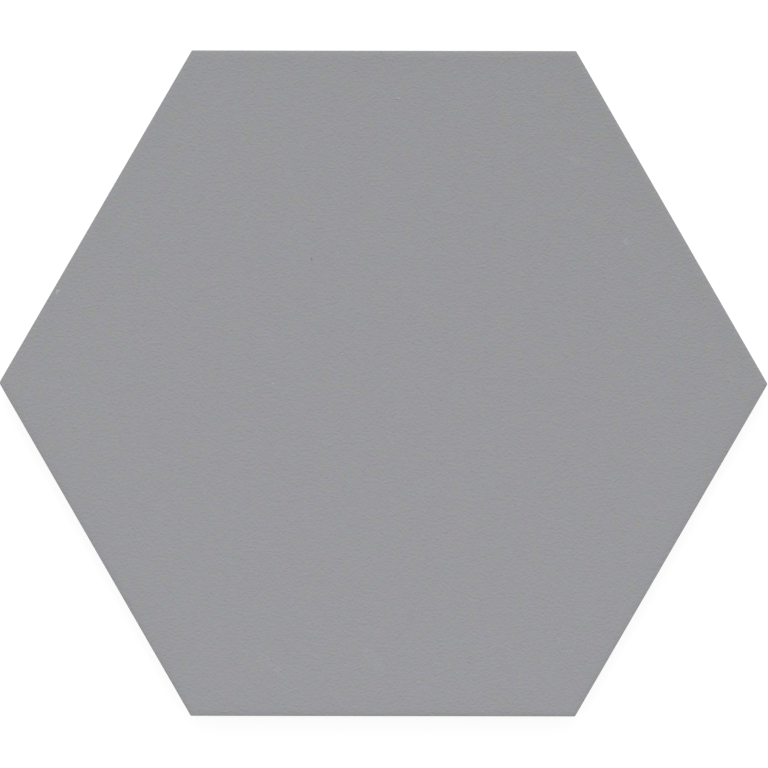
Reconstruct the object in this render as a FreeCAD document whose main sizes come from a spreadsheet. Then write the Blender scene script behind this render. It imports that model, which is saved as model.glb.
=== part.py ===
"""Hexagon floor tile: one dry-pressed, fired porcelain tile, in millimetres.

The tile lies on its back with the face up. The origin is the centre of the back,
+Z is up and +X points at a corner, so that two of the six sides face +Y and -Y.
"""

import FreeCAD, Part
import math
import os
import Sketcher

NODE = "hexagon_tile"
SIDES = 6

# Driving sizes in millimetres, and in degrees where the name ends in angle
SIZES = {
    "corner_span": 250.0,
    "thickness": 9.0,
    "corner_round": 0.6,
    "edge_land": 3.5,
    "draft_angle": 2.0,
    "face_blend": 8.0,
    "arris_flat": 0.7,
    "arris_angle": 10.0,
    "arris_round": 0.4,
    "back_bevel": 1.0,
    "key_depth": 0.8,
    "key_pitch": 17.0,
    "key_rib": 2.4,
    "key_angle": 30.0,
    "plain_rim": 8.0,
}

# How far a cutter's outline stands clear of the solid that it cuts
CUTTER_CLEARANCE = 4.0

# Formulas of the sheet that several features share
HALF_FLATS = "Sizes.corner_span / 2 * cos(30deg)"
BACK_DRAFT = "(Sizes.thickness - Sizes.edge_land) * tan(Sizes.draft_angle * 1deg)"
CELL_RADIUS = "(Sizes.key_pitch - Sizes.key_rib) / 2 / cos(30deg)"
BACK_HALF_FLATS = f"({HALF_FLATS} - {BACK_DRAFT} - Sizes.back_bevel)"
KEY_ROOM = f"({BACK_HALF_FLATS} - Sizes.plain_rim - {CELL_RADIUS})"
KEY_RINGS = f"floor({KEY_ROOM} / (Sizes.key_pitch * cos(30deg)))"

TURN = 2 * math.pi / SIDES
COS_HALF_TURN = math.cos(TURN / 2)


def make_sheet(doc):
    """The sheet of driving sizes, one named cell in each row."""
    sheet = doc.addObject("Spreadsheet::Sheet", "Sizes")
    for row, (name, value) in enumerate(SIZES.items(), start=1):
        sheet.set(f"A{row}", name)
        sheet.set(f"B{row}", str(value))
        sheet.setAlias(f"B{row}", name)
    doc.recompute()


def point(x, y):
    return FreeCAD.Vector(x, y, 0)


def origin_item(body, role):
    """The plane or axis with this role in the body's own origin."""
    return next(item for item in body.Origin.OriginFeatures if item.Role == role)


def add_sketch(body, name, role):
    sketch = body.newObject("Sketcher::SketchObject", name)
    sketch.AttachmentSupport = [(origin_item(body, role), "")]
    sketch.MapMode = "FlatFace"
    return sketch


def bind_constraint(sketch, name, formula, *what):
    """Adds a constraint whose value follows a formula of the sheet."""
    index = sketch.addConstraint(Sketcher.Constraint(*what))
    sketch.renameConstraint(index, name)
    sketch.setExpression(f"Constraints.{name}", formula)


def constrain(sketch, *what):
    sketch.addConstraint(Sketcher.Constraint(*what))


def chain_lines(sketch, corners):
    """Lines from corner to corner, joined end to start; returns their numbers."""
    lines = []
    for start, end in zip(corners, corners[1:]):
        lines.append(sketch.addGeometry(Part.LineSegment(start, end), False))
    for line, following in zip(lines, lines[1:]):
        constrain(sketch, "Coincident", line, 2, following, 1)
    return lines


def make_equal(sketch, items):
    for item in items[1:]:
        constrain(sketch, "Equal", items[0], item)


def draw_hexagon(sketch, centre, radius, first_angle):
    """A closed hexagon in a construction circle; returns its lines and the circle."""
    corners = []
    for step in range(SIDES + 1):
        angle = first_angle + step * TURN
        corners.append(centre + point(math.cos(angle), math.sin(angle)) * radius)
    lines = chain_lines(sketch, corners)
    constrain(sketch, "Coincident", lines[-1], 2, lines[0], 1)
    circle = sketch.addGeometry(Part.Circle(centre, FreeCAD.Vector(0, 0, 1), radius), True)
    for line in lines:
        constrain(sketch, "PointOnObject", line, 1, circle)
    return lines, circle


def sketch_outline(body):
    """The tile seen from above, at the foot of the upright band of its sides."""
    sketch = add_sketch(body, "Outline", "XY_Plane")
    sketch.setExpression(".AttachmentOffset.Base.z", "Sizes.thickness - Sizes.edge_land")
    lines, circle = draw_hexagon(sketch, point(0, 0), SIZES["corner_span"] / 2, 0)
    constrain(sketch, "Coincident", circle, 3, -1, 1)
    arcs = []
    for line in lines:
        arcs.append(sketch.GeometryCount)
        sketch.fillet(line, 2, SIZES["corner_round"], True, True)
    make_equal(sketch, lines)
    make_equal(sketch, arcs)
    constrain(sketch, "Horizontal", lines[1])
    bind_constraint(
        sketch, "corner_span", "Sizes.corner_span", "Diameter", circle, SIZES["corner_span"]
    )
    bind_constraint(
        sketch, "corner_round", "Sizes.corner_round", "Radius", arcs[0], SIZES["corner_round"]
    )
    return sketch


def pad_blank(body, outline):
    """The pressed blank: upright near the face, drawn in below by the mould's draft."""
    pad = body.newObject("PartDesign::Pad", "Blank")
    pad.Profile = outline
    pad.SideType = "Two sides"
    pad.setExpression("Length", "Sizes.edge_land")
    pad.setExpression("Length2", "Sizes.thickness - Sizes.edge_land")
    pad.setExpression("TaperAngle2", "-Sizes.draft_angle")


def sketch_edge_profile(body):
    """What is cut off one side, in the plane across it: the rolled arris and the bevel."""
    sketch = add_sketch(body, "EdgeProfile", "YZ_Plane")
    draw_arris(sketch)
    draw_bevel(sketch)
    return sketch


def draw_arris(sketch):
    """Face blend, sloping flat and small round, closed outside the solid."""
    slope = math.radians(SIZES["arris_angle"])
    rise = math.pi / 2 - slope
    blend = SIZES["face_blend"]
    flat = SIZES["arris_flat"]
    small = SIZES["arris_round"]
    wall = SIZES["corner_span"] / 2 * COS_HALF_TURN
    top = SIZES["thickness"]
    outside = wall + CUTTER_CLEARANCE
    above = top + CUTTER_CLEARANCE

    round_centre_y = wall - small
    flat_end_y = round_centre_y + small * math.sin(slope)
    blend_centre_y = flat_end_y - flat * math.cos(slope) - blend * math.sin(slope)
    blend_centre = point(blend_centre_y, top - blend)
    flat_start = blend_centre + point(math.sin(slope), math.cos(slope)) * blend
    flat_end = flat_start + point(math.cos(slope), -math.sin(slope)) * flat
    round_centre = flat_end - point(math.sin(slope), math.cos(slope)) * small

    axis = FreeCAD.Vector(0, 0, 1)
    blend_circle = Part.Circle(blend_centre, axis, blend)
    round_circle = Part.Circle(round_centre, axis, small)
    blend_arc = sketch.addGeometry(Part.ArcOfCircle(blend_circle, rise, math.pi / 2), False)
    flat_line = sketch.addGeometry(Part.LineSegment(flat_start, flat_end), False)
    round_arc = sketch.addGeometry(Part.ArcOfCircle(round_circle, 0, rise), False)
    foot, outer, upper, inner = chain_lines(
        sketch,
        [
            point(wall, round_centre.y),
            point(outside, round_centre.y),
            point(outside, above),
            point(blend_centre_y, above),
            point(blend_centre_y, top),
        ],
    )
    constrain(sketch, "Tangent", blend_arc, 1, flat_line, 1)
    constrain(sketch, "Tangent", flat_line, 2, round_arc, 2)
    constrain(sketch, "Coincident", round_arc, 1, foot, 1)
    constrain(sketch, "Coincident", inner, 2, blend_arc, 2)
    constrain(sketch, "Horizontal", foot)
    constrain(sketch, "Vertical", outer)
    constrain(sketch, "Horizontal", upper)
    constrain(sketch, "Vertical", inner)
    # The blend is level where it leaves the face, and the round upright at the wall
    constrain(sketch, "Vertical", blend_arc, 3, blend_arc, 2)
    constrain(sketch, "Horizontal", round_arc, 3, round_arc, 1)
    bind_constraint(sketch, "face_blend", "Sizes.face_blend", "Radius", blend_arc, blend)
    bind_constraint(sketch, "arris_round", "Sizes.arris_round", "Radius", round_arc, small)
    bind_constraint(sketch, "arris_flat", "Sizes.arris_flat", "Distance", flat_line, flat)
    bind_constraint(
        sketch, "arris_angle", "Sizes.arris_angle * 1deg", "Angle", flat_line, 1, upper, 2, slope
    )
    bind_constraint(sketch, "wall", HALF_FLATS, "DistanceX", -1, 1, round_arc, 1, wall)
    bind_constraint(sketch, "face", "Sizes.thickness", "DistanceY", -1, 1, inner, 2, top)
    constrain(sketch, "Distance", foot, CUTTER_CLEARANCE)
    constrain(sketch, "Distance", inner, CUTTER_CLEARANCE)


def draw_bevel(sketch):
    """The bevel round the back, at 45 degrees, closed outside the solid."""
    bevel = SIZES["back_bevel"]
    below_face = SIZES["thickness"] - SIZES["edge_land"]
    wall_foot = SIZES["corner_span"] / 2 * COS_HALF_TURN
    wall_foot -= below_face * math.tan(math.radians(SIZES["draft_angle"]))
    inner = wall_foot - bevel
    reach = bevel + CUTTER_CLEARANCE
    slope, outer, lower, left = chain_lines(
        sketch,
        [
            point(inner, 0),
            point(inner + reach, reach),
            point(inner + reach, -CUTTER_CLEARANCE),
            point(inner, -CUTTER_CLEARANCE),
            point(inner, 0),
        ],
    )
    constrain(sketch, "Coincident", left, 2, slope, 1)
    constrain(sketch, "PointOnObject", slope, 1, -1)
    constrain(sketch, "Vertical", outer)
    constrain(sketch, "Horizontal", lower)
    constrain(sketch, "Vertical", left)
    constrain(sketch, "Angle", -1, 1, slope, 1, math.pi / 4)
    constrain(sketch, "Distance", left, CUTTER_CLEARANCE)
    bind_constraint(
        sketch, "bevel_start", BACK_HALF_FLATS, "DistanceX", -1, 1, slope, 1, inner
    )
    bind_constraint(
        sketch,
        "bevel_reach",
        f"Sizes.back_bevel + {CUTTER_CLEARANCE}",
        "DistanceX",
        slope,
        1,
        slope,
        2,
        reach,
    )


def cut_edges(body, profile):
    """The profile is cut along the side that faces +Y, then round all the sides."""
    cut = body.newObject("PartDesign::Pocket", "EdgeCut")
    cut.Profile = profile
    cut.SideType = "Symmetric"
    cut.setExpression("Length", "Sizes.corner_span")
    around = body.newObject("PartDesign::PolarPattern", "EdgesAround")
    around.Originals = [cut]
    around.Axis = (origin_item(body, "Z_Axis"), [""])
    around.Angle = 360
    around.Occurrences = SIDES
    body.Tip = around


def sketch_key_cell(body):
    """One cell of the honeycomb key, a pitch from the centre towards the +X corner."""
    pitch = SIZES["key_pitch"]
    radius = (pitch - SIZES["key_rib"]) / 2 / COS_HALF_TURN
    centre = point(pitch, 0)
    sketch = add_sketch(body, "KeyCell", "XY_Plane")
    lines, circle = draw_hexagon(sketch, centre, radius, -TURN / 2)
    make_equal(sketch, lines)
    constrain(sketch, "Vertical", lines[0])
    constrain(sketch, "PointOnObject", circle, 3, -1)
    bind_constraint(sketch, "pitch", "Sizes.key_pitch", "DistanceX", -1, 1, circle, 3, pitch)
    bind_constraint(sketch, "cell", CELL_RADIUS, "Radius", circle, radius)
    return sketch


def sketch_row_direction(body):
    """The direction of the honeycomb's second rows, two sixths of a turn from +X.

    Only the line's direction counts, so its length is 1.
    """
    sketch = add_sketch(body, "RowDirection", "XY_Plane")
    end = point(math.cos(2 * TURN), math.sin(2 * TURN))
    line = sketch.addGeometry(Part.LineSegment(point(0, 0), end), True)
    constrain(sketch, "Coincident", line, 1, -1, 1)
    constrain(sketch, "Distance", line, 1)
    constrain(sketch, "Angle", -1, 1, line, 1, 2 * TURN)
    return sketch


def cut_key(doc, body):
    """The honeycomb key of the back, whose centre cell stays a solid land.

    Rows along +X and along the second direction fill a rhombus with the centre at its
    blunt corner, and three such rhombi fill the hexagon.
    """
    cell = body.newObject("PartDesign::Pocket", "KeyPocket")
    cell.Profile = sketch_key_cell(body)
    cell.Reversed = True
    cell.setExpression("Length", "Sizes.key_depth")
    cell.setExpression("TaperAngle", "-Sizes.key_angle")

    first_row = doc.addObject("PartDesign::LinearPattern", "KeyFirstRow")
    first_row.Direction = (origin_item(body, "X_Axis"), [""])
    first_row.setExpression("Occurrences", KEY_RINGS)
    second_row = doc.addObject("PartDesign::LinearPattern", "KeySecondRow")
    second_row.Direction = (sketch_row_direction(body), ["Axis0"])
    second_row.setExpression("Occurrences", f"{KEY_RINGS} + 1")
    for row in (first_row, second_row):
        row.Mode = "Spacing"
        row.setExpression("Offset", "Sizes.key_pitch")
    around = doc.addObject("PartDesign::PolarPattern", "KeyAround")
    around.Axis = (origin_item(body, "Z_Axis"), [""])
    around.Angle = 360
    around.Occurrences = SIDES // 2
    key = body.newObject("PartDesign::MultiTransform", "Key")
    key.Originals = [cell]
    key.Transformations = [first_row, second_row, around]
    # No two faces of the cells lie in one plane and touch, so none need merging
    key.Refine = False
    body.Tip = key


def make_tile(doc):
    body = doc.addObject("PartDesign::Body", "HexagonTile")
    body.Label = NODE
    body.Placement = FreeCAD.Placement()
    pad_blank(body, sketch_outline(body))
    cut_edges(body, sketch_edge_profile(body))
    cut_key(doc, body)
    return body


def check_model(doc, body):
    """Stops if a feature failed, a cut removed nothing or the tile isn't one solid."""
    for item in doc.Objects:
        if "Invalid" in item.State or "Error" in item.State:
            raise RuntimeError(f"{item.Name} failed: {item.State}")
    for feature in body.Group:
        if feature.TypeId == "Sketcher::SketchObject" and not feature.FullyConstrained:
            raise RuntimeError(f"{feature.Name} isn't fully constrained")
        if feature.TypeId in ("PartDesign::Pocket", "PartDesign::MultiTransform"):
            if feature.Shape.Volume >= feature.BaseFeature.Shape.Volume:
                raise RuntimeError(f"{feature.Name} cut nothing")
    if body.Shape.isNull() or not body.Shape.isValid() or len(body.Shape.Solids) != 1:
        raise RuntimeError(f"{body.Label} isn't one valid solid")


def main():
    doc = FreeCAD.newDocument("HexagonFloorTile")
    make_sheet(doc)
    tile = make_tile(doc)
    doc.recompute()
    check_model(doc, tile)
    os.makedirs("parts", exist_ok=True)
    tile.Shape.exportStep(f"parts/{tile.Label}.step")


main()
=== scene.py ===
import math

import bpy
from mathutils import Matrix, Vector, noise
from mathutils.geometry import delaunay_2d_cdt


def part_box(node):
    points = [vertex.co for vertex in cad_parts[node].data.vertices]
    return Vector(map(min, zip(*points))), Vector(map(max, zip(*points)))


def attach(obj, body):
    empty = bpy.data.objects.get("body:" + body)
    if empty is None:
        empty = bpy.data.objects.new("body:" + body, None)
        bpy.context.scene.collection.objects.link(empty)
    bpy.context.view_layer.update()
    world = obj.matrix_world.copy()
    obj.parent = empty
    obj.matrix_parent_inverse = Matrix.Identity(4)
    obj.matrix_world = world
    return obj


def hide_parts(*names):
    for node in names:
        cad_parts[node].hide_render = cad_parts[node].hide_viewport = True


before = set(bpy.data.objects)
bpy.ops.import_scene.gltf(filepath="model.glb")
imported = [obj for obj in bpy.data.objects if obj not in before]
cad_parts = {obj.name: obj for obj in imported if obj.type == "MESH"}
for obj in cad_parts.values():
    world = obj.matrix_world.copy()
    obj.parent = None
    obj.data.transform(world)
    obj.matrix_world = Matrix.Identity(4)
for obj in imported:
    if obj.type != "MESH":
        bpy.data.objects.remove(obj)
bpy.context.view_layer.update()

# Frame and overall size: millimetres in this script, metres in the scene
MM = 0.001
NODE = "hexagon_tile"
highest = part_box(NODE)[1]
THICKNESS = highest.z / MM
HALF_FLATS = highest.y / MM

SIDES = 6
TURN = 2 * math.pi / SIDES
COS_HALF_TURN = math.cos(TURN / 2)
TAN_HALF_TURN = math.tan(TURN / 2)
HALF_CORNERS = HALF_FLATS / COS_HALF_TURN

# Sizes of the edge and of the key, as the solid has them
CORNER_ROUND = 0.6
EDGE_LAND = 3.5
DRAFT = math.radians(2)
FACE_BLEND = 8.0
ARRIS_FLAT = 0.7
ARRIS_ANGLE = math.radians(10)
ARRIS_ROUND = 0.4
BACK_BEVEL = 1.0
KEY_DEPTH = 0.8
KEY_PITCH = 17.0
KEY_RIB = 2.4
KEY_ANGLE = math.radians(30)
KEY_RINGS = 6

# Small rounds that only the finished surface has
LAND_ROUND = 3.0
BEVEL_ROUND = 0.35
RIB_ROUND = 0.3
FLOOR_ROUND = 0.5
CELL_CORNER_ROUND = 1.2
# How much rounder the mitre of two rolled edges gets with each mm in from the side
MITRE_SOFTENING = 0.8

# How finely the mesh is divided: steps of each side, corner and round, from the face down
FACE_STEPS = 140
CORNER_STEPS = 3
CELL_STEPS = 3
CELL_CORNER_STEPS = 1
EDGE_ROUND_STEPS = (5, 5, 1, 2, 2)
KEY_ROUND_STEPS = (2, 2)
# Width of the flat strip that keeps a round's shading off the flat beside it
SUPPORT = 0.4
# Filling the rim: how far its sides bow out, the kind that stays inside, the merging distance
RIM_BOW = 0.1
FILL_INSIDE = 1
FILL_MERGE = 1e-6

# Pressed relief of the face: its depth, its waves as width and share, and their contrast
RELIEF_DEPTH = 0.035
RELIEF_WAVES = ((5.5, 0.45), (2.9, 0.55))
RELIEF_CONTRAST = 0.7
RELIEF_SEED = 17.3

# Steps from a point of a triangle lattice to its neighbours, anticlockwise from +X
LATTICE_WAYS = ((1, 0), (0, 1), (-1, 1), (-1, 0), (0, -1), (1, -1))


def rounded(points, rounds, steps):
    """The corners of a path, each inner one turned into an arc tangent to its lines."""
    path = [points[0]]
    for before, corner, after, radius, count in zip(
        points, points[1:], points[2:], rounds, steps
    ):
        arriving = (corner - before).normalized()
        leaving = (after - corner).normalized()
        turn = math.atan2(arriving.cross(leaving), arriving.dot(leaving))
        start = corner - arriving * radius * math.tan(abs(turn) / 2)
        across = Vector((-arriving.y, arriving.x)) * math.copysign(1, turn)
        centre = start + across * radius
        spoke = start - centre
        for step in range(count + 1):
            angle = turn * step / count
            cos, sin = math.cos(angle), math.sin(angle)
            turned = Vector((spoke.x * cos - spoke.y * sin, spoke.x * sin + spoke.y * cos))
            path.append(centre + turned)
    path.append(points[-1])
    return path


def hexagon(half_flats, corner_round, steps, corner_steps, roundness):
    """Points of a closed hexagon from the corner at angle 0, the same number on each side.

    Roundness 0 spaces them evenly on sharp sides, 1 gathers some in the rounded corners.
    """
    points = []
    half_side = half_flats * TAN_HALF_TURN
    straight = half_side - corner_round * TAN_HALF_TURN
    for side in range(SIDES):
        facing = (side + 0.5) * TURN
        outward = Vector((math.cos(facing), math.sin(facing)))
        along = Vector((-outward.y, outward.x))
        for step in range(steps):
            even = Vector((half_side * (2 * step / steps - 1), half_flats))
            from_end = steps - step
            if step < corner_steps or from_end < corner_steps:
                end = -1 if step < corner_steps else 1
                share = min(step, from_end) / corner_steps
                angle = (1 - share) * TURN / 2 * end
                out = half_flats - corner_round + corner_round * math.cos(angle)
                gathered = Vector((straight * end + corner_round * math.sin(angle), out))
            else:
                share = (step - corner_steps) / (steps - 2 * corner_steps)
                gathered = Vector((straight * (2 * share - 1), half_flats))
            place = even.lerp(gathered, roundness)
            points.append(along * place.x + outward * place.y)
    return points


def lattice(rings, pitch):
    """Numbers and places of a triangle lattice's points, up to so many rings out."""
    for i in range(-rings, rings + 1):
        for j in range(-rings, rings + 1):
            if abs(i + j) <= rings:
                yield i, j, pitch * (i + j / 2), pitch * j * COS_HALF_TURN


def relief(x, y):
    """Depth of the face below its highest plane, from 0 to RELIEF_DEPTH."""
    level = 0.0
    for width, share in RELIEF_WAVES:
        level += share * noise.noise(Vector((x / width, y / width, RELIEF_SEED * width)))
    return RELIEF_DEPTH * min(1.0, max(0.0, 0.5 + RELIEF_CONTRAST * level))


class Shell:
    """Corners and faces of the mesh as they are made."""

    def __init__(self):
        self.corners = []
        self.faces = []
        self.shared = {}

    def corner(self, x, y, z):
        self.corners.append((x, y, z))
        return len(self.corners) - 1

    def shared_corner(self, x, y, z):
        """One corner for all the cells that meet at a place in the middle of a rib."""
        half_step = KEY_PITCH / CELL_STEPS / 2
        key = (round(x / half_step), round(y / half_step / TAN_HALF_TURN))
        if key not in self.shared:
            self.shared[key] = self.corner(x, y, z)
        return self.shared[key]

    def strip(self, right, left):
        """Quads between two rings, on the right and left of one who follows them outside."""
        count = len(right)
        for a in range(count):
            b = (a + 1) % count
            self.faces.append((right[a], right[b], left[b], left[a]))


def edge_profile():
    """The tile's edge in section, from the face to the back, as (outward, height)."""
    blend_length = FACE_BLEND * math.tan(ARRIS_ANGLE / 2)
    round_length = ARRIS_ROUND * math.tan((math.pi / 2 - ARRIS_ANGLE) / 2)
    slope = blend_length + ARRIS_FLAT + round_length
    face_corner = -slope * math.cos(ARRIS_ANGLE)
    land_foot = THICKNESS - EDGE_LAND
    back_wall = -land_foot * math.tan(DRAFT)
    bevel_top = BACK_BEVEL / (1 - math.tan(DRAFT))
    back_edge = back_wall - BACK_BEVEL
    corners = [
        Vector((face_corner - blend_length - SUPPORT, THICKNESS)),
        Vector((face_corner, THICKNESS)),
        Vector((0, THICKNESS - slope * math.sin(ARRIS_ANGLE))),
        Vector((0, land_foot)),
        Vector((back_wall + bevel_top * math.tan(DRAFT), bevel_top)),
        Vector((back_edge, 0)),
        Vector((back_edge - BEVEL_ROUND - SUPPORT, 0)),
    ]
    rounds = (FACE_BLEND, ARRIS_ROUND, LAND_ROUND, BEVEL_ROUND, BEVEL_ROUND)
    return rounded(corners, rounds, EDGE_ROUND_STEPS)


def key_profile():
    """A key cell in section, from the middle of the rib to the cell's floor."""
    opening = (KEY_PITCH - KEY_RIB) / 2
    floor = opening - KEY_DEPTH * math.tan(KEY_ANGLE)
    corners = [
        Vector((KEY_PITCH / 2, 0)),
        Vector((opening, 0)),
        Vector((floor, KEY_DEPTH)),
        Vector((floor - FLOOR_ROUND - SUPPORT, KEY_DEPTH)),
    ]
    return rounded(corners, (RIB_ROUND, FLOOR_ROUND), KEY_ROUND_STEPS)


def add_face(shell, half_flats):
    """The face as a triangle lattice; returns its rim, from the corner at angle 0."""
    spacing = half_flats / COS_HALF_TURN / FACE_STEPS
    numbers = {}
    for i, j, x, y in lattice(FACE_STEPS, spacing):
        numbers[i, j] = shell.corner(x, y, THICKNESS - relief(x, y))
    for (i, j), here in numbers.items():
        right = numbers.get((i + 1, j))
        above = numbers.get((i, j + 1))
        below = numbers.get((i + 1, j - 1))
        if right is not None and above is not None:
            shell.faces.append((here, right, above))
        if right is not None and below is not None:
            shell.faces.append((here, below, right))
    rim = []
    for side, (i, j) in enumerate(LATTICE_WAYS):
        along_i, along_j = LATTICE_WAYS[(side + 2) % SIDES]
        for step in range(FACE_STEPS):
            place = (i * FACE_STEPS + along_i * step, j * FACE_STEPS + along_j * step)
            rim.append(numbers[place])
    return rim


def add_edge(shell, face_rim, profile):
    """The rolled arris, wall and bevel, ring under ring; returns the ring on the back."""
    reach = -profile[0].x
    inner = face_rim
    for place in profile[1:]:
        on_face = place.y > THICKNESS - EDGE_LAND
        inset = max(0.0, -place.x) if on_face else 0.0
        fade = inset / reach
        corner_round = CORNER_ROUND + MITRE_SOFTENING * inset
        half_flats = HALF_FLATS + place.x
        points = hexagon(half_flats, corner_round, FACE_STEPS, CORNER_STEPS, 1 - fade)
        ring = [shell.corner(p.x, p.y, place.y - fade * relief(p.x, p.y)) for p in points]
        shell.strip(ring, inner)
        inner = ring
    return inner


def key_centres():
    """Middles of the honeycomb's cells, the middle one first."""
    centres = [Vector((x, y)) for _, _, x, y in lattice(KEY_RINGS, KEY_PITCH)]
    return sorted(centres, key=lambda centre: centre.length)


def cell_ring(shell, centre, half_flats, z, roundness):
    """A hexagon round a cell's middle, with flats at +X and -X; sharp ones share corners."""
    add_corner = shell.shared_corner if roundness == 0 else shell.corner
    ring = []
    for point in hexagon(
        half_flats, CELL_CORNER_ROUND, CELL_STEPS, CELL_CORNER_STEPS, roundness
    ):
        place = centre + Vector((-point.y, point.x))
        ring.append(add_corner(place.x, place.y, z))
    return ring


def add_cap(shell, ring, centre, z):
    """Closes a ring of the back with a fan round its middle."""
    middle = shell.corner(centre.x, centre.y, z)
    for a, b in zip(ring, ring[1:] + ring[:1]):
        shell.faces.append((b, a, middle))


def add_key(shell):
    """The honeycomb of ribs and cells round a solid land; returns the outline of each."""
    profile = key_profile()
    cells = []
    for number, centre in enumerate(key_centres()):
        outer = cell_ring(shell, centre, profile[0].x, 0, 0)
        cells.append(outer)
        if number == 0:
            add_cap(shell, outer, centre, 0)
            continue
        for place in profile[1:]:
            inner = cell_ring(shell, centre, place.x, place.y, 1)
            shell.strip(inner, outer)
            outer = inner
        add_cap(shell, outer, centre, KEY_DEPTH)
    return cells


def add_rim(shell, back_ring, cells):
    """The plain rim: what the back's outline holds beside the cells."""
    used = back_ring + sorted({corner for cell in cells for corner in cell})
    index = {corner: number for number, corner in enumerate(used)}
    flat = [Vector(shell.corners[corner][:2]) for corner in used]
    # Bowed sides have no three points in line, which the filling needs
    reach = max(place.length for place in flat)
    for number, place in enumerate(flat[: len(back_ring)]):
        flat[number] = place * (1 + RIM_BOW * (1 - (place.length / reach) ** 2))
    outlines = [[index[corner] for corner in outline] for outline in [back_ring] + cells]
    _, _, triangles, _, _, holders = delaunay_2d_cdt(
        flat, [], outlines, FILL_INSIDE, FILL_MERGE, True
    )
    for (a, b, c), holder in zip(triangles, holders):
        # What the first outline alone holds is rim, and the rest lies in a cell
        if holder == [0]:
            shell.faces.append((used[a], used[c], used[b]))


def make_tile():
    """The whole tile as one closed mesh."""
    shell = Shell()
    profile = edge_profile()
    face_rim = add_face(shell, HALF_FLATS + profile[0].x)
    back_ring = add_edge(shell, face_rim, profile)
    add_rim(shell, back_ring, add_key(shell))
    mesh = bpy.data.meshes.new("pressed_tile")
    mesh.from_pydata([Vector(c) * MM for c in shell.corners], [], shell.faces)
    mesh.validate()
    mesh.shade_smooth()
    tile = bpy.data.objects.new("pressed_tile", mesh)
    bpy.context.scene.collection.objects.link(tile)
    return tile


class Nodes:
    """A node tree with short calls to add to it."""

    # Sockets of a colour mix, which share their names with those of a number mix
    SHARE, FIRST, SECOND, MIXED = 0, 6, 7, 2

    def __init__(self, tree):
        self.tree = tree

    def add(self, kind, inputs=None, **settings):
        """A new node; an input takes a number, a colour or another node's output."""
        made = self.tree.nodes.new(kind)
        for name, value in settings.items():
            setattr(made, name, value)
        for name, value in (inputs or {}).items():
            self.feed(made.inputs[name], value)
        return made

    def feed(self, socket, value):
        if isinstance(value, bpy.types.NodeSocket):
            self.tree.links.new(value, socket)
        else:
            socket.default_value = value

    def maths(self, operation, *values):
        node = self.add("ShaderNodeMath", dict(enumerate(values)), operation=operation)
        return node.outputs[0]

    def measure(self, operation, *vectors):
        """A number that comes from vectors: a length or a dot product."""
        inputs = dict(enumerate(vectors))
        node = self.add("ShaderNodeVectorMath", inputs, operation=operation)
        return node.outputs["Value"]

    def scaled(self, vector, scale):
        inputs = {0: vector, "Scale": scale}
        return self.add("ShaderNodeVectorMath", inputs, operation="SCALE").outputs[0]

    def clouds(self, place, width, detail, roughness, seed):
        """Noise about as wide as given, as a Fac or a Color from 0 to 1 around one half."""
        inputs = {
            "Vector": place,
            "Scale": 1 / width,
            "Detail": detail,
            "Roughness": roughness,
            "W": seed,
        }
        return self.add("ShaderNodeTexNoise", inputs, noise_dimensions="4D").outputs

    def oval(self, place, middle, turn, sizes):
        """How far a place lies from an oval's middle: 1 is on its outline."""
        inputs = {"Vector": place, "Location": middle, "Rotation": (0, 0, turn), "Scale": sizes}
        inside = self.add("ShaderNodeMapping", inputs, vector_type="TEXTURE")
        return self.measure("LENGTH", inside.outputs[0])

    def between(self, value, low, high, at_low=0.0, at_high=1.0):
        """A smooth step from at_low to at_high as a value goes from low to high."""
        inputs = {"Value": value, 1: low, 2: high, 3: at_low, 4: at_high}
        node = self.add("ShaderNodeMapRange", inputs, interpolation_type="SMOOTHSTEP")
        return node.outputs["Result"]

    def mix(self, share, first, second):
        """From the first number to the second as the share goes from 0 to 1."""
        inputs = {"Factor": share, "A": first, "B": second}
        return self.add("ShaderNodeMix", inputs).outputs["Result"]

    def blend(self, share, first, second, way="MIX"):
        """From the first colour to the second as the share goes from 0 to 1."""
        inputs = {self.SHARE: share, self.FIRST: first, self.SECOND: second}
        node = self.add("ShaderNodeMix", inputs, data_type="RGBA", blend_type=way)
        return node.outputs[self.MIXED]


class Finish(Nodes):
    """A material's node tree, with places on the object in millimetres."""

    def __init__(self, name):
        self.material = bpy.data.materials.new(name)
        self.material.use_nodes = True
        super().__init__(self.material.node_tree)
        self.shader = self.tree.nodes["Principled BSDF"]
        coordinates = self.add("ShaderNodeTexCoord")
        self.place = self.scaled(coordinates.outputs["Object"], 1 / MM)

    def stretched(self, scale):
        """Places for noise that is longer where the scale is smaller."""
        return self.add("ShaderNodeMapping", {"Vector": self.place, "Scale": scale}).outputs[0]


# The photograph's size, the tile's middle, how far out its corners lie, and its turn
PHOTO_PIXELS = 768
PHOTO_TILE_CENTRE = (383.40, 383.40)
PHOTO_TILE_CORNER = 384.25
PHOTO_TURN = math.radians(0.10)
PIXEL = HALF_CORNERS / PHOTO_TILE_CORNER

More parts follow.
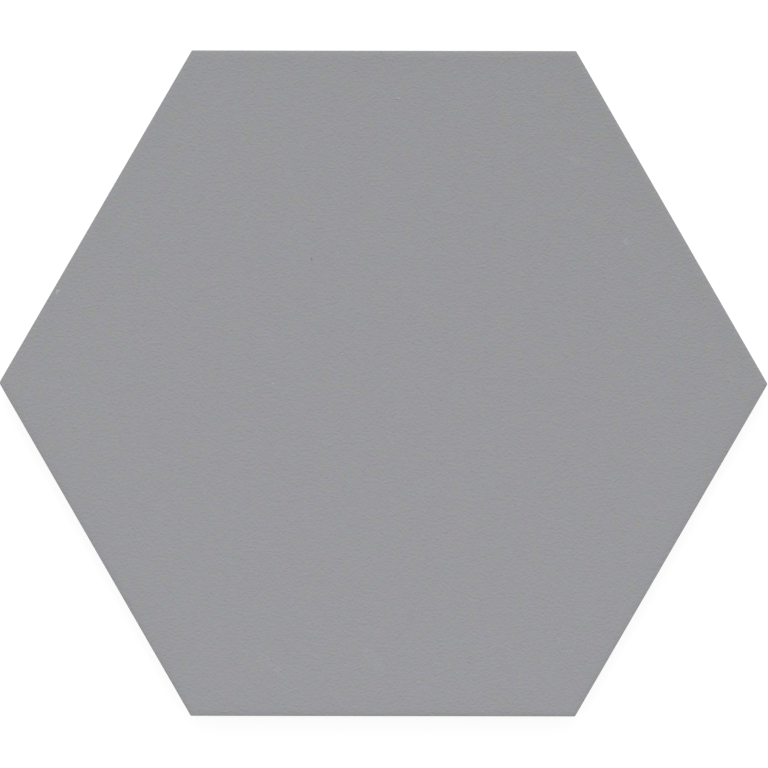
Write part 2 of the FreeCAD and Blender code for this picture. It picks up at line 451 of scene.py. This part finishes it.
# Small marks on the face, among them a painted highlight and a painted shadow on the nib: place
# in pixels, length and width in mm, turn in degrees, strength
CHIPS_AND_NIB_HIGHLIGHT = (
    ((57.0, 292.1), 1.5, 0.6, 88, 0.80),
    ((58.7, 290.3), 1.3, 0.6, -5, 0.70),
    ((272.9, 383.5), 0.8, 0.35, 0, 1.0),
    # Painted highlight on the nib's upper side
    ((398.0, 98.5), 1.5, 0.4, 0, 0.68),
    ((329.7, 444.5), 1.1, 0.33, 0, 0.5),
)
SCUFFS = (
    ((573.0, 158.5), 6.0, 2.4, -5, 0.14),
    ((584.0, 162.0), 3.5, 2.0, -30, 0.12),
    ((625.5, 241.5), 2.4, 1.8, -60, 0.18),
    ((629.5, 247.0), 3.4, 1.7, -50, 0.12),
    ((266.0, 660.0), 5.0, 3.0, -40, 0.14),
    ((277.0, 670.0), 7.0, 3.2, -48, 0.09),
    ((368.0, 652.0), 4.0, 3.0, -35, 0.13),
    ((377.0, 663.0), 8.0, 3.0, -58, 0.09),
    ((268.0, 345.0), 7.0, 5.0, 70, 0.08),
)
DARK_MARKS_AND_NIB_SHADOW = (
    ((311.5, 258.9), 1.1, 0.42, 88, 0.72),
    ((441.4, 400.5), 1.4, 0.40, 0, 0.42),
    ((329.6, 446.4), 1.2, 0.40, 8, 0.35),
    # Painted shadow below the nib
    ((398.0, 99.6), 1.6, 0.36, 0, 0.36),
)
NIBS = (((398.0, 99.1), 1.8, 0.8, 0, 1.0),)

# Colours, as linear values
GLAZE = (0.3238, 0.3153, 0.3456, 1)
GLAZE_TEAL = (0.3043, 0.3256, 0.3367, 1)
GLAZE_OLIVE = (0.3197, 0.3245, 0.3148, 1)
# Glaze colour of a darker, less blue band from just below the face's top down over the arris
GLAZE_EDGE_BAND = (0.3115, 0.3110, 0.3205, 1)
# Painted shade: the glaze is made a little darker near the sides
RIM_PAINTED_SHADE = (0.986, 0.990, 0.987, 1)
BODY = (0.452, 0.442, 0.415, 1)
BODY_DARK = (0.392, 0.380, 0.352, 1)
KILN_WASH = (0.62, 0.61, 0.58, 1)
# The speck colour also paints the shadow below the nib, and the chip colour the nib's highlight
SPECK_AND_SHADOW = (0.10, 0.09, 0.085, 1)
CHIP_AND_HIGHLIGHT = (0.44, 0.475, 0.465, 1)
SCUFF = (0.44, 0.52, 0.55, 1)

# Noise: width in mm, detail, roughness and seed
GLAZE_CLOUDS = (2.3, 1.5, 0.5, 3.1)
GRAIN = (0.76, 1.0, 0.5, 2.2)
SHEEN_CLOUDS = (6.0, 2.0, 0.5, 4.4)
MARK_RIM = (0.5, 2.0, 0.5, 12.5)
SCUFF_BREAKS = (1.3, 2.0, 0.5, 8.8)
SPRAY_WANDER = (15.0, 3.0, 0.5, 6.6)
SPRAY_DOTS = (0.3, 2.0, 0.7, 10.3)
BODY_CLOUDS = (22.0, 4.0, 0.6, 1.7)
BODY_GRIT = (0.32, 1.5, 0.5, 5.2)
WASH_STROKES = (1.8, 5.0, 0.7, 9.9)
DRAG_MARKS = (0.55, 3.0, 0.6, 7.7)

# How noise is stretched: finer where the value is larger
GRAIN_STRETCH = (0.88, 0.97, 1)
WASH_STRETCH = (0.3, 1, 1)
DRAG_STRETCH = (1, 1, 0.1)

# Levels of a noise between which its effect sets in
TEAL_STEP = (0.456, 0.756)
OLIVE_STEP = (0.471, 0.771)
SHEEN_STEP = (0.3, 0.7)
SCUFF_STEP = (0.35, 0.65)
WANDER_STEP = (0.2, 0.8)
BODY_STEP = (0.35, 0.7)
GRIT_STEP = (0.68, 0.80)
WASH_STEP = (0.32, 0.62)

# Fades in mm: of the painted shade in from the side, of the darker band below the face, above
# the spray's end and above the bed
RIM_SHADE_FADE = (0.5, 13.0)
EDGE_BAND_FADE = (0.30, 0.03)
SPRAY_FADE = (-0.3, 0.5)
WASH_FADE = (0.02, 0.12)
# A mark fades between these shares of its size, and its rim wanders by up to so many mm
MARK_FADE = (0.3, 1.5)
MARK_SHAKE = 0.5

# Slow changes over the face: middle in half corner spans, turn, rise along and across. The first
# is painted light, lighter near one side of the face and darker away from it as light falls off;
# the others drift the tint clouds
PAINTED_FALLOFF_OVAL = ((1.10, -2.41), math.radians(-50), 0.0035, 0.0235)
OLIVE_OVAL = ((0.146, -1.193), math.radians(13), 0.054, 0.009)
TEAL_OVAL = ((0.120, -0.200), 0, 0.032, 0.034)
# The painted light fall-off at the middle of its oval, and how much lighter and darker fine
# clouds make it
PAINTED_FALLOFF_PEAK = 1.0360
CLOUD_DEPTH = 0.068

# Height in mm above which the spray's end starts, and how far it wanders and breaks up
GLAZE_FOOT = 5.6
GLAZE_WANDER = 0.7
SPRAY_BREAK = 2.2

# Least and most of the wash on the ribs, roughness, and heights of the fine relief in mm
WASH_COVER = (0.1, 0.9)
GLAZE_ROUGHNESS = (0.64, 0.67)
BODY_ROUGHNESS = 0.88
GRAIN_HEIGHT = 0.387
NIB_HEIGHT = 0.10
DRAG_HEIGHT = 0.16


def from_photo(place):
    """A pixel of the photograph as millimetres from the tile's middle, on its face."""
    right = (place[0] - PHOTO_TILE_CENTRE[0]) * PIXEL
    up = (PHOTO_TILE_CENTRE[1] - place[1]) * PIXEL
    cos, sin = math.cos(PHOTO_TURN), math.sin(PHOTO_TURN)
    return Vector((right * cos - up * sin, right * sin + up * cos, THICKNESS))


def mark_share(finish, marks):
    """How much of a mark covers each place of the face, soft and uneven at its rim."""
    rough_rim = finish.clouds(finish.place, *MARK_RIM)["Color"]
    shaken = finish.blend(MARK_SHAKE, finish.place, rough_rim, "LINEAR_LIGHT")
    total = 0.0
    for place, length, width, turn, strength in marks:
        sizes = (length / 2, width / 2, length)
        away = finish.oval(shaken, from_photo(place), math.radians(turn), sizes)
        total = finish.maths("ADD", total, finish.between(away, *MARK_FADE, strength, 0.0))
    return total


def slow_rise(finish, middle, turn, along, across):
    """0 at an oval's middle, rising as the square of the distance from it.

    Half a corner span out it has risen by `along` or `across`.
    """
    right, up = middle
    place = (right * HALF_CORNERS, up * HALF_CORNERS, THICKNESS)
    sizes = (HALF_CORNERS / math.sqrt(along), HALF_CORNERS / math.sqrt(across), HALF_CORNERS)
    return finish.maths("POWER", finish.oval(finish.place, place, turn, sizes), 2)


def rim_depth(finish):
    """How far in a place lies from the tile's nearest side."""
    furthest = 0.0
    for side in range(SIDES // 2):
        facing = (side + 0.5) * TURN
        outward = (math.cos(facing), math.sin(facing), 0)
        out = finish.maths("ABSOLUTE", finish.measure("DOT_PRODUCT", finish.place, outward))
        furthest = finish.maths("MAXIMUM", furthest, out)
    return finish.maths("SUBTRACT", HALF_FLATS, furthest)


def glaze_colour(finish):
    """Matt grey glaze with faint teal and olive clouds, painted light that falls off across the
    face, and painted shade a little darker at the rim.
    """
    clouds = finish.clouds(finish.place, *GLAZE_CLOUDS)["Color"]
    teal, olive, light = finish.add("ShaderNodeSeparateColor", {0: clouds}).outputs
    teal = finish.maths("ADD", teal, slow_rise(finish, *TEAL_OVAL))
    olive = finish.maths("ADD", olive, slow_rise(finish, *OLIVE_OVAL))
    tint = finish.blend(finish.between(teal, *TEAL_STEP), GLAZE, GLAZE_TEAL)
    tint = finish.blend(finish.between(olive, *OLIVE_STEP), tint, GLAZE_OLIVE)
    # Painted shade, a little darker towards the sides
    rim_shade_share = finish.between(rim_depth(finish), *RIM_SHADE_FADE, 1.0, 0.0)
    tint = finish.blend(rim_shade_share, tint, RIM_PAINTED_SHADE, "MULTIPLY")
    light = finish.maths("MULTIPLY", finish.maths("SUBTRACT", light, 0.5), CLOUD_DEPTH)
    # Painted light: the face is made lighter near one side and darker away from it, as the light
    # falls off
    painted_falloff = finish.maths("SUBTRACT", PAINTED_FALLOFF_PEAK, slow_rise(finish, *PAINTED_FALLOFF_OVAL))
    return finish.scaled(tint, finish.maths("ADD", light, painted_falloff))


def marked(finish, glaze):
    """The glaze with its scuffs, chips and dark marks, and the nib's painted highlight and
    painted shadow.
    """
    breaks = finish.clouds(finish.place, *SCUFF_BREAKS)["Fac"]
    scuffs = mark_share(finish, SCUFFS)
    scuffs = finish.maths("MULTIPLY", scuffs, finish.between(breaks, *SCUFF_STEP))
    glaze = finish.blend(scuffs, glaze, SCUFF)
    glaze = finish.blend(mark_share(finish, CHIPS_AND_NIB_HIGHLIGHT), glaze, CHIP_AND_HIGHLIGHT)
    return finish.blend(mark_share(finish, DARK_MARKS_AND_NIB_SHADOW), glaze, SPECK_AND_SHADOW)


def body_colour(finish, height):
    """The fired body, bare on the sides and the back, with kiln wash brushed on its ribs."""
    clouds = finish.clouds(finish.place, *BODY_CLOUDS)["Fac"]
    base = finish.blend(finish.between(clouds, *BODY_STEP), BODY, BODY_DARK)
    grit = finish.clouds(finish.place, *BODY_GRIT)["Fac"]
    grainy = finish.blend(finish.between(grit, *GRIT_STEP), base, SPECK_AND_SHADOW)
    strokes = finish.clouds(finish.stretched(WASH_STRETCH), *WASH_STROKES)["Fac"]
    on_ribs = finish.between(height, *WASH_FADE, 1.0, 0.0)
    covered = finish.between(strokes, *WASH_STEP, *WASH_COVER)
    return finish.blend(finish.maths("MULTIPLY", on_ribs, covered), grainy, KILN_WASH)


def glaze_cover(finish, height):
    """1 where glaze lies; the spray ends in a wandering, broken line on the tile's sides."""
    wander = finish.clouds(finish.place, *SPRAY_WANDER)["Fac"]
    lowest, most = GLAZE_FOOT - GLAZE_WANDER, GLAZE_FOOT + GLAZE_WANDER
    foot = finish.between(wander, *WANDER_STEP, lowest, most)
    dots = finish.clouds(finish.place, *SPRAY_DOTS)["Fac"]
    foot = finish.maths("ADD", foot, finish.maths("MULTIPLY", dots, SPRAY_BREAK))
    return finish.between(finish.maths("SUBTRACT", height, foot), *SPRAY_FADE)


def fine_relief(finish, glazed):
    """Heights finer than the mesh: grain and nibs in the glaze, drag marks below it."""
    grain = finish.clouds(finish.stretched(GRAIN_STRETCH), *GRAIN)["Fac"]
    grain = finish.maths("MULTIPLY", grain, GRAIN_HEIGHT)
    nibs = finish.maths("MULTIPLY", mark_share(finish, NIBS), NIB_HEIGHT)
    drag = finish.clouds(finish.stretched(DRAG_STRETCH), *DRAG_MARKS)["Fac"]
    drag = finish.maths("MULTIPLY", drag, DRAG_HEIGHT)
    return finish.mix(glazed, drag, finish.maths("ADD", grain, nibs))


def make_finish():
    """Glazed face over a bare porcelain body."""
    finish = Finish("porcelain_finish")
    height = finish.add("ShaderNodeSeparateXYZ", {0: finish.place}).outputs["Z"]
    glazed = glaze_cover(finish, height)
    # Darker, less blue glaze from just below the face's top down over the arris and the sides
    band_from, band_to = (THICKNESS - below for below in EDGE_BAND_FADE)
    edge_band = finish.between(height, band_from, band_to, 1.0, 0.0)
    glaze = marked(finish, finish.blend(edge_band, glaze_colour(finish), GLAZE_EDGE_BAND))
    colour = finish.blend(glazed, body_colour(finish, height), glaze)
    finish.feed(finish.shader.inputs["Base Color"], colour)

    sheen = finish.clouds(finish.place, *SHEEN_CLOUDS)["Fac"]
    matt = finish.between(sheen, *SHEEN_STEP, *GLAZE_ROUGHNESS)
    bare = finish.between(glazed, 0, 1, BODY_ROUGHNESS, 0.0)
    finish.feed(finish.shader.inputs["Roughness"], finish.maths("MAXIMUM", matt, bare))

    relief_height = fine_relief(finish, glazed)
    bump = finish.add("ShaderNodeBump", {"Height": relief_height, "Distance": MM, "Strength": 1})
    finish.feed(finish.shader.inputs["Normal"], bump.outputs["Normal"])
    return finish.material


# Floor, in metres: it lies just below the tile, and its grey and its glow add up to white
FLOOR_DROP = 0.05 * MM
FLOOR_SIZE = 12.0
FLOOR_GREY = 0.31
FLOOR_GLOW = 0.79

# Light: levels from above, from the floor, which returns more from +Y, and from the side lamp
WORLD_LEVEL = 0.739
FLOOR_RETURN = 0.70
FLOOR_SLANT = 0.55
SIDE_LEVEL = 0.20
SIDE_HEIGHT = math.radians(40)
SIDE_WIDTH = math.radians(30)

# Camera: focal length and sensor width in mm
LENS = 200
SENSOR = 36


def seen_rays(nodes):
    """1 for the rays that show a backdrop, 0 for those that only light the object."""
    rays = nodes.add("ShaderNodeLightPath").outputs
    seen = rays["Is Camera Ray"]
    for kind in ("Is Glossy Ray", "Is Transmission Ray"):
        seen = nodes.maths("MAXIMUM", seen, rays[kind])
    return seen


def make_floor():
    """A plain pale floor, clear from below so that the tile's back can be seen."""
    half = FLOOR_SIZE / 2
    mesh = bpy.data.meshes.new("floor")
    corners = [(-half, -half), (half, -half), (half, half), (-half, half)]
    mesh.from_pydata([(x, y, -FLOOR_DROP) for x, y in corners], [], [(0, 1, 2, 3)])
    floor = bpy.data.objects.new("floor", mesh)
    bpy.context.scene.collection.objects.link(floor)
    material = bpy.data.materials.new("floor_paint")
    material.use_nodes = True
    nodes = Nodes(material.node_tree)
    nodes.tree.nodes.clear()
    grey = (FLOOR_GREY, FLOOR_GREY, FLOOR_GREY, 1)
    paint = nodes.add("ShaderNodeBsdfDiffuse", {"Color": grey}).outputs[0]
    level = nodes.maths("MULTIPLY", seen_rays(nodes), FLOOR_GLOW)
    glow = nodes.add("ShaderNodeEmission", {"Strength": level}).outputs[0]
    above = nodes.add("ShaderNodeAddShader", {0: paint, 1: glow}).outputs[0]
    clear = nodes.add("ShaderNodeBsdfTransparent").outputs[0]
    below = nodes.add("ShaderNodeNewGeometry").outputs["Backfacing"]
    either = nodes.add("ShaderNodeMixShader", {0: below, 1: above, 2: clear}).outputs[0]
    nodes.add("ShaderNodeOutputMaterial", {"Surface": either})
    mesh.materials.append(material)
    # The world's lower half stands for the light that the floor returns
    floor.visible_diffuse = False
    floor.visible_glossy = False


def make_world():
    """Even light from above and the floor's light from below, white wherever it is seen."""
    world = bpy.data.worlds.new("studio")
    bpy.context.scene.world = world
    world.use_nodes = True
    world.cycles.sampling_method = "NONE"
    nodes = Nodes(world.node_tree)
    way = nodes.add("ShaderNodeTexCoord").outputs["Generated"]
    parts = nodes.add("ShaderNodeSeparateXYZ", {"Vector": way}).outputs
    upper = nodes.maths("GREATER_THAN", parts["Z"], 0)
    returned = nodes.maths("MULTIPLY_ADD", parts["Y"], FLOOR_SLANT, FLOOR_RETURN)
    level = nodes.mix(upper, returned, WORLD_LEVEL)
    background = nodes.tree.nodes["Background"]
    nodes.feed(background.inputs["Color"], (1, 1, 1, 1))
    nodes.feed(background.inputs["Strength"], nodes.mix(seen_rays(nodes), level, 1))


def make_side_light():
    """A broad soft light from the side at the photograph's top, far enough to be even."""
    lamp = bpy.data.lights.new("side_light", "SUN")
    lamp.angle = SIDE_WIDTH
    lamp.energy = SIDE_LEVEL * math.pi / math.sin(SIDE_HEIGHT)
    light = bpy.data.objects.new("side_light", lamp)
    light.location = (0, math.cos(SIDE_HEIGHT), math.sin(SIDE_HEIGHT))
    light.rotation_euler = (SIDE_HEIGHT - math.pi / 2, 0, 0)
    bpy.context.scene.collection.objects.link(light)


def make_camera():
    """Straight above the tile, as the photograph was taken."""
    pixel = PIXEL * MM
    camera = bpy.data.objects.new("camera", bpy.data.cameras.new("camera"))
    camera.data.lens = LENS
    camera.data.sensor_width = SENSOR
    outline_height = (THICKNESS - ARRIS_ROUND) * MM
    across, down = PHOTO_TILE_CENTRE
    camera.location = (
        (PHOTO_PIXELS / 2 - across) * pixel,
        (down - PHOTO_PIXELS / 2) * pixel,
        outline_height + PHOTO_PIXELS * pixel * LENS / SENSOR,
    )
    camera.rotation_euler = (0, 0, PHOTO_TURN)
    bpy.context.scene.collection.objects.link(camera)
    bpy.context.scene.camera = camera


tile = make_tile()
tile.data.materials.append(make_finish())
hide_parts(NODE)
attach(tile, "root")

make_floor()
make_world()
make_side_light()
make_camera()
bpy.context.scene.view_settings.view_transform = "Standard"
